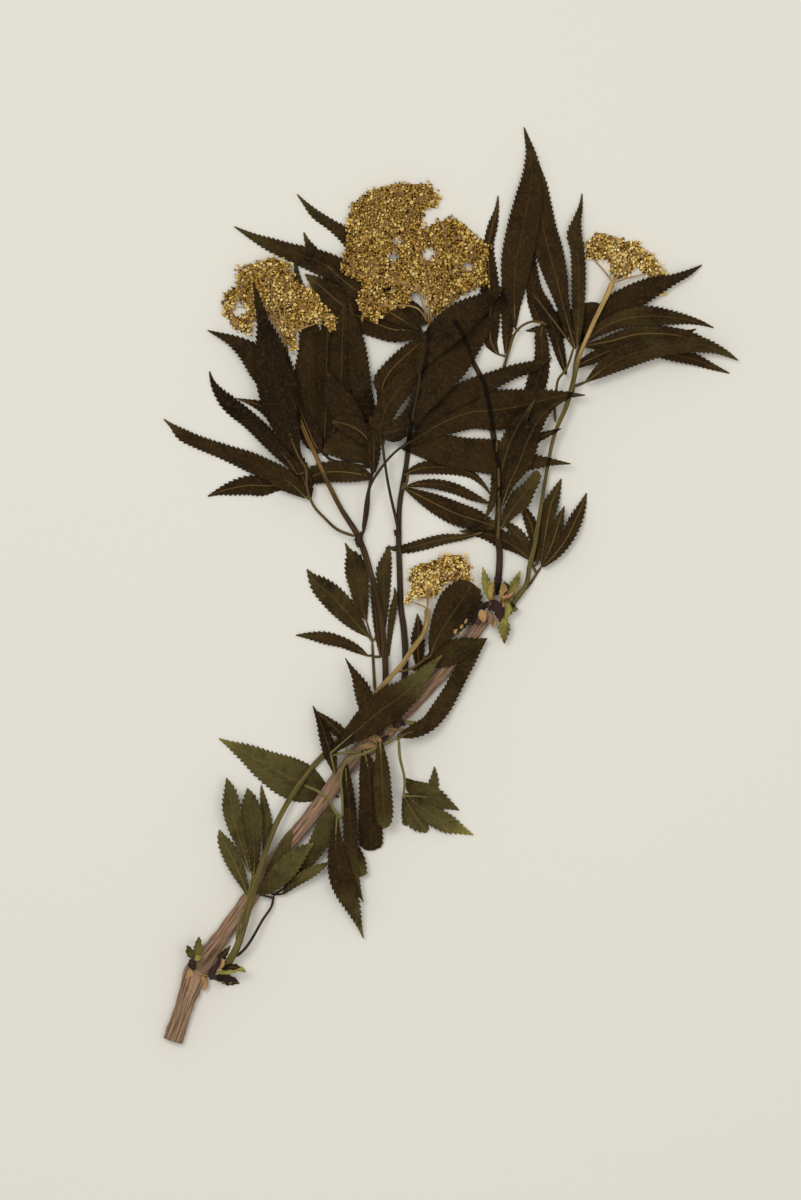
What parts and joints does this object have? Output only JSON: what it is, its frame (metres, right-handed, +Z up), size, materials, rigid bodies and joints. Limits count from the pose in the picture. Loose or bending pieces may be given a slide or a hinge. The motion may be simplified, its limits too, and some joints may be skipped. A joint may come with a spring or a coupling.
{
  "type": "pressed elderberry flowering branch",
  "caption": "Pressed and dried branch of elder, lying flat: woody stem, green shoots, dark saw-edged compound leaves and flat heads of small cream flowers.",
  "frame": {"origin": "on the surface it lies on, below the middle of the branch's bounding box", "axes": "+Y from the cut end of the stem towards the flower heads, +X to the right seen from above, +Z up"},
  "size_m": [0.2168, 0.3456, 0.0147],
  "materials": {
    "wood": "dry pinkish-tan bark with fine lengthwise ridges and pale pores",
    "green_stem": "dry olive-green skin with lengthwise ridges",
    "brown_stem": "dry dark brown skin with lengthwise ridges",
    "gold_stem": "dry golden-brown skin with lengthwise ridges",
    "dark_leaf": "matt dried leaf, dark brown, veined",
    "olive_leaf": "matt dried leaf, olive brown, veined",
    "flowers": "matt dried petals, golden cream",
    "dark_buds": "matt dark purple-brown bud scales",
    "green_buds": "matt yellow-green young leaves"
  },
  "bodies": {
    "root": {"bud_base_left": "green_buds", "bud_base_right": "dark_buds", "bud_top": "green_buds", "flower_head_large": "flowers", "flower_head_left": "flowers", "flower_head_right": "flowers", "flower_head_small": "flowers", "leaf_base_left": "olive_leaf", "leaf_base_right": "olive_leaf", "leaf_by_small_cluster": "dark_leaf", "leaf_centre": "dark_leaf", "leaf_centre_left": "dark_leaf", "leaf_curved_right": "dark_leaf", "leaf_drooping": "dark_leaf", "leaf_left": "dark_leaf", "leaf_left_low": "olive_leaf", "leaf_left_mid": "dark_leaf", "leaf_lower_mid": "dark_leaf", "leaf_right_fan": "dark_leaf", "leaf_right_lower": "dark_leaf", "leaf_s1_mid": "dark_leaf", "leaf_s1_single": "dark_leaf", "leaf_s1_upper": "dark_leaf", "leaf_s3": "olive_leaf", "leaf_slip": "olive_leaf", "leaf_small_hanging": "olive_leaf", "leaf_top": "dark_leaf", "leaf_top_left": "dark_leaf", "leaf_upper_left": "dark_leaf", "main_stem": "wood", "shoot_centre": "brown_stem", "shoot_centre_left": "brown_stem", "shoot_left": "gold_stem", "shoot_right": "green_stem", "shoot_small": "green_stem"}
  },
  "joints": []
}
